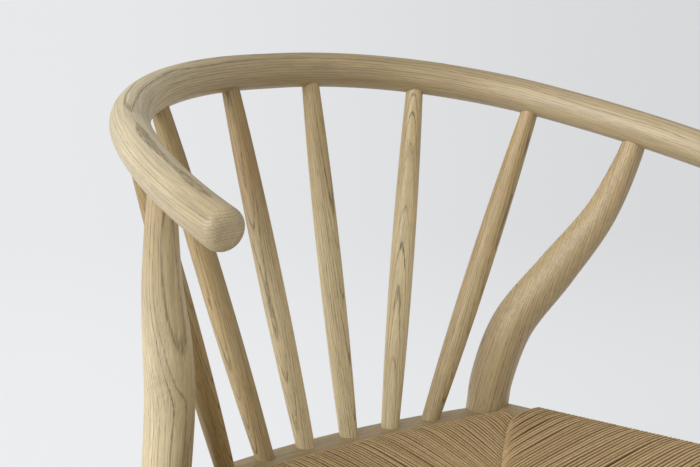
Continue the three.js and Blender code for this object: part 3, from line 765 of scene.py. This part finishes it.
def make_stretcher(name, node, start, end, seed):
    """A turned stretcher with a long soft belly. Both ends stand in their sockets."""
    start, end = np.asarray(start, float), np.asarray(end, float)
    total = np.linalg.norm(end - start)
    tip = STRETCHER_END - 0.5 * MM
    table = [(0, tip), (STRETCHER_CHAMFER, STRETCHER_END)]
    for t in np.linspace(0, 1, 33):
        radius = STRETCHER_END + STRETCHER_BELLY * 4 * t * (1 - t)
        table.append((STRETCHER_SOCKET + (total - 2 * STRETCHER_SOCKET) * t, radius))
    table += [(total - STRETCHER_CHAMFER, STRETCHER_END), (total, tip)]
    grain = Grain(seed, pith=0.06)
    piece = turned_piece(name, start, end, table, sides=32, grain=grain, material=spindle_wood)
    finished(piece, node)


def make_stretchers():
    """Stretchers lie on their CAD nodes' axes."""
    for word, side in (("left", LEFT), ("right", RIGHT)):
        rear_leg = rear_leg_line(side)
        rear = rear_leg[np.argmin(np.abs(rear_leg[:, 2] - SIDE_STRETCHER_REAR_Z))]
        foot, seat = front_leg_ends(side)
        share = (SIDE_STRETCHER_FRONT_Z - foot[2]) / (seat[2] - foot[2])
        front = foot + (seat - foot) * share
        along = unit(front - rear)
        make_stretcher(f"turned_side_stretcher_{word}", f"side_stretcher_{word}",
                       rear + along * STRETCHER_GAP, front - along * STRETCHER_GAP, 71 + side)
    for word in ("front", "back"):
        low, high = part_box(f"{word}_stretcher")
        y, z = (low.y + high.y) / 2, (low.z + high.z) / 2
        make_stretcher(f"turned_{word}_stretcher", f"{word}_stretcher",
                       (low.x, y, z), (high.x, y, z), 75)


def make_glides():
    """Nylon glides under the four legs, a little wider at the rim than at the floor."""
    for end in ("rear", "front"):
        for word in ("left", "right"):
            node = f"{end}_glide_{word}"
            low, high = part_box(node)
            centre = np.array([(low.x + high.x) / 2, (low.y + high.y) / 2, 0])
            rim = (high.x - low.x) / 2
            # (height, radius): the head on the floor, then the pin that stands in the leg
            table = [(0, rim - 1.3 * MM), (0.4 * MM, rim - 0.5 * MM), (1.2 * MM, rim),
                     (2.6 * MM, rim), (3.0 * MM, rim - 0.5 * MM), (3.1 * MM, 2 * MM),
                     (13 * MM, 1.8 * MM), (15 * MM, 0.3 * MM)]
            heights = np.array([row[0] for row in table])
            radii = np.array([row[1] for row in table])
            points = centre + np.outer(heights, (0, 0, 1))
            glide = swept_round(f"nylon_{node}", points, radii, (1, 0, 0), sides=40,
                                grain=Grain(80), material=glide_nylon)
            finished(glide, node)


make_rails()
make_stretchers()
make_glides()

# ---- Woven seat ------------------------------------------------------------

CORD_RADIUS = 1.93 * MM
PITCH = 4.0 * MM
BACK_PITCH = 3.75 * MM  # the strands over the rear rail are packed tighter
TUBE_SIDES = 8
REAR_CORNER = np.array([170.0, 104.5]) * MM  # where the rear seam starts, at the left
FRONT_CORNER = np.array([217.0, -219.0]) * MM
SEAM_END = np.array([36.0, -18.0]) * MM  # where the corner seams meet the middle seam
REAR_SEAM_BOW = 7 * MM  # how far each corner seam bulges away from the middle seam
FRONT_SEAM_BOW = -10 * MM
SEAM_DIP = 26 * MM  # how far the weave would sink a long way from the rails
DIP_LENGTH = 100 * MM
DRAPE = 1.25  # a strand leaves the rail gently and steepens towards the seam
LEAN = 0.14  # how much the back field's strands fan out towards the rear rail
LEAN_FROM = 90 * MM  # the distance from the middle at which they do so fully
SIDE_LEAN = 0.045  # how much the side strands slope forward on their way in, less at the front
SEAM_DRAG = 4.5 * MM  # how far the side strands are pulled towards the middle at a seam
DRAG_LENGTH = 8 * MM  # how far from the seam the pull is felt
DRAG_FADE = 40 * MM  # the pull grows to full over about this distance from the middle seam
SIDE_STRANDS_REAR_Y = 96.6 * MM  # the first and last strands over the side rails
SIDE_STRANDS_FRONT_Y = -214.1 * MM
STRAND_STEP = 3.2 * MM  # between the rings of a strand's mesh
PLACE_SPREAD = 0.22 * MM  # how unevenly the strands lie side by side
SWAY_SPREAD = 0.25 * MM
BOUNCE_SPREAD = 0.3 * MM
WOBBLE = 6.0  # radians of sway from one end of a strand to the other


def side_rail_x(y):
    """Centre of the left side rail at y."""
    t = (SIDE_RAIL_REAR[1] - y) / (SIDE_RAIL_REAR[1] - SIDE_RAIL_FRONT[1])
    return SIDE_RAIL_REAR[0] + t * (SIDE_RAIL_FRONT[0] - SIDE_RAIL_REAR[0])


def seam_line(corner, bow):
    """A seam in plan, from the middle seam out to a corner of the seat."""
    t = np.linspace(1, 0, 80)
    line = corner + np.outer(t, SEAM_END - corner)
    line[:, 1] += bow * 4 * t * (1 - t)
    return line


REAR_SEAM = seam_line(REAR_CORNER, REAR_SEAM_BOW)
FRONT_SEAM = seam_line(FRONT_CORNER, FRONT_SEAM_BOW)


def seam_dip(x, y):
    """How far below the rear rail's top the weave lies at a point of a seam."""
    to_side = side_rail_x(y) - SIDE_RAIL_WIDTH / 2 - abs(x)
    if y >= SEAM_END[1]:
        to_end = edge(REAR_CORD_RAIL["front"], REAR_CORD_RAIL["front_bow"], x) - y
    else:
        to_end = y - SIDE_RAIL_FRONT[1] - FRONT_RAIL_WIDTH / 2
    return SEAM_DIP * (1 - math.exp(-max(to_side + to_end, 0) / 2 / DIP_LENGTH))


def round_the_rail(width, lift):
    """The cord's centre line round a rail: (distance out from the rail's inner face, z)."""
    r = CORE_ROUND + CORD_RADIUS
    line = [(CORE_ROUND, CORE_TOP + lift + CORD_RADIUS)]
    for a in range(90, -1, -15):
        angle = math.radians(a)
        line.append((width - CORE_ROUND + r * math.cos(angle),
                     CORE_TOP + lift - CORE_ROUND + r * math.sin(angle)))
    for a in range(0, -91, -15):
        angle = math.radians(a)
        line.append((width - CORE_ROUND + r * math.cos(angle),
                     CORE_BOTTOM + lift + CORE_ROUND + r * math.sin(angle)))
    line.append((CORE_ROUND, CORE_BOTTOM + lift - CORD_RADIUS))
    return line


def strand_profile(run, width, dip, lift, over, draw):
    """A strand as (distance out from the rail's inner face, z), seam to seam round the rail.

    run is the length from the rail to the seam. A strand that is over crosses the seam on
    top and turns down behind it, and the others slip under that one. The second value is
    how far each point has moved along the rail: a turn advances half a pitch, so that the
    lower strands lie under the gaps between the upper ones.
    """
    rail = round_the_rail(width, lift)
    seam_z = CORE_TOP + CORD_RADIUS - dip
    if over:
        line = [(-run - 1.1 * PITCH, seam_z - 5.5 * MM), (-run - 0.8 * PITCH, seam_z - 2.4 * MM),
                (-run - 0.3 * PITCH, seam_z + 0.6 * MM), (-run + 0.5 * PITCH, seam_z + 1.5 * MM)]
    else:
        line = [(-run - 2.0 * PITCH, seam_z - 5 * MM), (-run - 0.7 * PITCH, seam_z - 2.4 * MM),
                (-run + 0.5 * PITCH, seam_z - 0.9 * MM)]
    start_u, start_z = line[-1]
    rail_u, rail_z = rail[0]
    bounce = draw.gauss(0, 1) * BOUNCE_SPREAD
    for t in np.linspace(0, 1, 11)[1:-1]:
        z = rail_z - (rail_z - start_z) * (1 - t) ** DRAPE
        line.append((start_u + (rail_u - start_u) * t, z + bounce * math.sin(math.pi * t)))
    first = len(line)
    line += rail
    low_u, low_z = rail[-1]
    for t in (0.2, 0.5, 0.8, 1.0):
        line.append((low_u + (-run - low_u) * t, low_z))
    line.append((-run - PITCH, low_z + 3 * MM))
    turned = np.clip((np.arange(len(line)) - first) / (len(rail) - 1), 0, 1)
    return np.array(line), PITCH / 2 * turned


def tube(points, radius):
    """Vertices of a round tube along a line, ring by ring, and the angles round each ring."""
    along = unit(np.gradient(points, axis=0))
    reference = np.array([0.0, 0.0, 1.0])
    flat = points[-1] - points[0]
    plane = np.cross(along[len(points) // 3], reference)
    if np.linalg.norm(plane) < 0.2:
        plane = np.cross(flat, reference)
    side = unit(plane - (along @ plane)[:, None] * along)
    third = np.cross(side, along)
    angles = np.arange(TUBE_SIDES) * 2 * math.pi / TUBE_SIDES
    rings = (points[:, None] + radius * (np.cos(angles)[None, :, None] * side[:, None]
                                         + np.sin(angles)[None, :, None] * third[:, None]))
    return rings.reshape(-1, 3), angles


class Field:
    """The strands of one side of the seat, collected into one mesh."""

    def __init__(self, radius=CORD_RADIUS):
        self.radius = radius
        self.vertices, self.faces, self.lay, self.strand = [], [], [], []
        self.count = 0

    def add(self, points, draw):
        """Adds one strand, with its place round and along the cord and its own number."""
        radius = self.radius * draw.uniform(0.95, 1.05)
        rings, angles = tube(points, radius)
        ends = np.vstack([points[:1], points[-1:]])
        lengths = arc_lengths(points) + draw.uniform(0, 0.011)
        lay = np.stack([
            np.tile(np.cos(angles), len(points)),
            np.tile(np.sin(angles), len(points)),
            np.repeat(lengths, TUBE_SIDES),
        ], axis=1)
        lay = np.vstack([lay, [[1, 0, lengths[0]], [1, 0, lengths[-1]]]])
        self.vertices.append(np.vstack([rings, ends]))
        self.lay.append(lay)
        self.strand.append(np.full(len(lay), draw.random()))
        for face in ring_faces(len(points), TUBE_SIDES):
            self.faces.append(tuple(v + self.count for v in face))
        self.count += len(lay)

    def build(self, name):
        """Makes the one mesh of the field."""
        mesh = bpy.data.meshes.new(name)
        vertices = np.vstack(self.vertices)
        mesh.from_pydata(vertices.tolist(), [], self.faces)
        mesh.shade_smooth()
        mesh.materials.append(paper_cord)
        piece = bpy.data.objects.new(name, mesh)
        bpy.context.scene.collection.objects.link(piece)
        add_vectors(piece, "lay", np.vstack(self.lay))
        add_numbers(piece, "strand", np.concatenate(self.strand))
        finished(piece, "cord_seat")


def eased(points):
    """A strand's line at short equal steps, with its corners eased."""
    p = resampled(points, max(24, int(arc_lengths(points)[-1] / STRAND_STEP)))
    for _ in range(2):
        p[1:-1] = 0.25 * p[:-2] + 0.5 * p[1:-1] + 0.25 * p[2:]
    return p


def weave_back_and_front():
    """Strands that run front to back, over the rear and front rails."""
    fields = (("back", REAR_SEAM, 1, BACK_PITCH), ("front", FRONT_SEAM, -1, PITCH))
    for name, seam, sign, pitch in fields:
        draw = random.Random(f"{name} cords")
        field = Field(CORD_RADIUS * pitch / PITCH)
        last = seam[-1, 0] - CORD_RADIUS
        count = round(2 * last / pitch)
        for k in range(count + 1):
            x = -last + k * 2 * last / count + draw.gauss(0, 1) * PLACE_SPREAD
            if sign > 0:
                inner = edge(REAR_CORD_RAIL["front"], REAR_CORD_RAIL["front_bow"], x)
                width = (REAR_CORD_RAIL["back"] - REAR_CORD_RAIL["front"]) * MM
            else:
                inner = SIDE_RAIL_FRONT[1] + FRONT_RAIL_WIDTH / 2
                width = FRONT_RAIL_WIDTH
            near = min(abs(x) / LEAN_FROM, 1)
            lean = math.copysign(LEAN * near * near * (3 - 2 * near), x) if sign > 0 else 0.0
            run = 0.0
            for _ in range(8):
                seam_x = x - lean * max(run, 0)
                seam_y = np.interp(abs(seam_x), seam[:, 0], seam[:, 1])
                run = sign * (inner - seam_y)
            run = max(run, PITCH - CORE_ROUND)
            profile, advance = strand_profile(run, width, seam_dip(seam_x, seam_y), 0.0,
                                              False, draw)
            sway = draw.gauss(0, 1) * SWAY_SPREAD
            x_line = x + lean * np.minimum(profile[:, 0], 0)
            x_line = x_line + sway * np.sin(np.linspace(0, WOBBLE, len(profile))) + advance
            points = np.stack([x_line, inner + sign * profile[:, 0], profile[:, 1]], axis=1)
            field.add(eased(points), draw)
        field.build(f"cords_{name}")


def weave_sides():
    """Strands that run side to side, over the side rails."""
    high, low = SIDE_STRANDS_REAR_Y, SIDE_STRANDS_FRONT_Y
    count = round((high - low) / PITCH)
    for word, side in (("left", LEFT), ("right", RIGHT)):
        draw = random.Random(f"{word} cords")
        field = Field()
        for k in range(count + 1):
            y = high - k * (high - low) / count + draw.gauss(0, 1) * PLACE_SPREAD
            seam = REAR_SEAM if y > SEAM_END[1] else FRONT_SEAM[::-1]
            to_rear = 1 if y > SEAM_END[1] else -1
            inner = side_rail_x(y) - SIDE_RAIL_WIDTH / 2
            lean = SIDE_LEAN * np.clip((y - low) / (SEAM_END[1] - low), 0, 1)
            run = 0.0
            for _ in range(8):
                seam_y = y - lean * max(run, 0)
                seam_x = np.interp(seam_y, seam[:, 1], seam[:, 0])
                run = inner - seam_x
            run = max(run, PITCH - CORE_ROUND)
            profile, advance = strand_profile(run, SIDE_RAIL_WIDTH, seam_dip(seam_x, seam_y),
                                              SIDE_RAIL_LIFT, True, draw)
            to_seam = np.clip(profile[:, 0] + run, 0, None)
            fade = min(1, (seam_x - SEAM_END[0]) / DRAG_FADE + 0.2)
            drag = to_rear * SEAM_DRAG * fade * np.exp(-to_seam / DRAG_LENGTH)
            on_top = np.arange(len(profile)) < len(profile) / 2
            sway = draw.gauss(0, 1) * SWAY_SPREAD
            y_line = y + lean * np.minimum(profile[:, 0], 0) - np.where(on_top, drag, 0)
            y_line = y_line + sway * np.sin(np.linspace(0, WOBBLE, len(profile))) + advance
            x_line = side * (inner + profile[:, 0])
            field.add(eased(np.stack([x_line, y_line, profile[:, 1]], axis=1)), draw)
        field.build(f"cords_{word}")


weave_back_and_front()
weave_sides()

# ---- Stage -----------------------------------------------------------------

CAMERA_PLACE = (-0.8001, -0.8233, 0.8325)
CAMERA_LENS = 77.3
CAMERA_TILT = math.radians(90 - 9.94)
CAMERA_TURN = math.radians(-39.965)
WINDOW_TOWARDS = (-0.97, 0.0, 0.33)
WINDOW_STRENGTH = 3.1
WINDOW_SPREAD = 60
WINDOW_COLOUR = (0.96, 0.985, 1.06)
AIR_COLOUR = (1.0, 0.99, 0.95, 1)
AIR_STRENGTH = 0.60
FLOOR_REACH = 60.0
# The floor's gradient and its lift near the camera are painted light and shade on a plain pale
# floor.
FLOOR_BRIGHT = (0.885, 0.892, 0.905, 1)
FLOOR_PAINTED_DIM = (0.745, 0.755, 0.772, 1)
GRADIENT_FROM = (-0.8, -0.82, 0.0)  # the floor below the camera
GRADIENT_AHEAD = (0.642, 0.767)  # the way the camera looks, in plan
GRADIENT_NEAR, GRADIENT_FAR = 2.4, 5.0
GRADIENT_EDGES = (-0.22, 0.26)  # from left to right in the view, as a slope from its middle
GRADIENT_NEAR_SHARE = 0.6
PAINTED_NEAR_LIFT = 1.045


def floor_material():
    """Pale paint, with painted light: it darkens from the left to the right of the camera's view
    and is lighter nearer the camera.

    The gradient fans out from a fixed place below the camera, so it fits that one view.
    """
    n = Nodes("floor_paint_and_painted_light")
    geometry = n.tree.nodes.new("ShaderNodeNewGeometry")
    x, y, _ = n.split(n.vector("SUBTRACT", geometry.outputs["Position"], GRADIENT_FROM))
    east, north = GRADIENT_AHEAD
    ahead = n.math("ADD", n.math("MULTIPLY", x, east), n.math("MULTIPLY", y, north))
    aside = n.math("SUBTRACT", n.math("MULTIPLY", x, north), n.math("MULTIPLY", y, east))
    ratio = n.math("DIVIDE", aside, n.math("MAXIMUM", ahead, 0.5))
    # Painted shade: the floor dims towards the right of the view, less so near the camera.
    painted_dimming = n.math("MULTIPLY", n.steps(ratio, *GRADIENT_EDGES),
                 n.steps(ahead, GRADIENT_NEAR, GRADIENT_FAR, GRADIENT_NEAR_SHARE, 1.0))
    colour = n.mix(painted_dimming, FLOOR_BRIGHT, FLOOR_PAINTED_DIM)
    # Painted light: the floor is lifted nearer the camera.
    near_lift_painted = n.steps(ahead, GRADIENT_NEAR, GRADIENT_FAR, PAINTED_NEAR_LIFT, 1.0)
    colour = n.mix(1.0, colour, n.join(near_lift_painted, near_lift_painted, near_lift_painted), "MULTIPLY")
    n.put(n.shader.inputs["Base Color"], colour)
    n.shader.inputs["Roughness"].default_value = 0.9
    n.shader.inputs["Specular IOR Level"].default_value = 0.1
    return n.material


def make_floor():
    """A pale floor, large enough to reach past the picture's edges."""
    signs = ((-1, -1), (1, -1), (1, 1), (-1, 1))
    corners = [(x * FLOOR_REACH, y * FLOOR_REACH, 0) for x, y in signs]
    mesh = bpy.data.meshes.new("studio_floor")
    mesh.from_pydata(corners, [], [(0, 1, 2, 3)])
    floor = bpy.data.objects.new("studio_floor", mesh)
    mesh.materials.append(floor_material())
    bpy.context.scene.collection.objects.link(floor)


def soft_sun(name, towards, strength, spread, colour):
    """Very soft parallel light from a direction."""
    data = bpy.data.lights.new(name, "SUN")
    data.color = colour
    data.energy = strength
    data.angle = math.radians(spread)
    light = bpy.data.objects.new(name, data)
    light.rotation_euler = (-Vector(towards)).to_track_quat("-Z", "Y").to_euler()
    light.location = Vector(towards) * 3
    bpy.context.scene.collection.objects.link(light)


def make_light():
    """One large window and the light of the room."""
    soft_sun("window", WINDOW_TOWARDS, WINDOW_STRENGTH, WINDOW_SPREAD, WINDOW_COLOUR)
    world = bpy.data.worlds.new("studio_air")
    world.use_nodes = True
    background = world.node_tree.nodes["Background"]
    background.inputs["Color"].default_value = AIR_COLOUR
    background.inputs["Strength"].default_value = AIR_STRENGTH
    bpy.context.scene.world = world


def make_camera():
    """A long lens over the sitter's right arm."""
    data = bpy.data.cameras.new("camera")
    data.sensor_width = 36
    data.lens = CAMERA_LENS
    camera = bpy.data.objects.new("camera", data)
    camera.location = CAMERA_PLACE
    camera.rotation_euler = (CAMERA_TILT, 0, CAMERA_TURN)
    bpy.context.scene.collection.objects.link(camera)
    bpy.context.scene.camera = camera


make_floor()
make_light()
make_camera()
bpy.context.scene.view_settings.view_transform = "Standard"
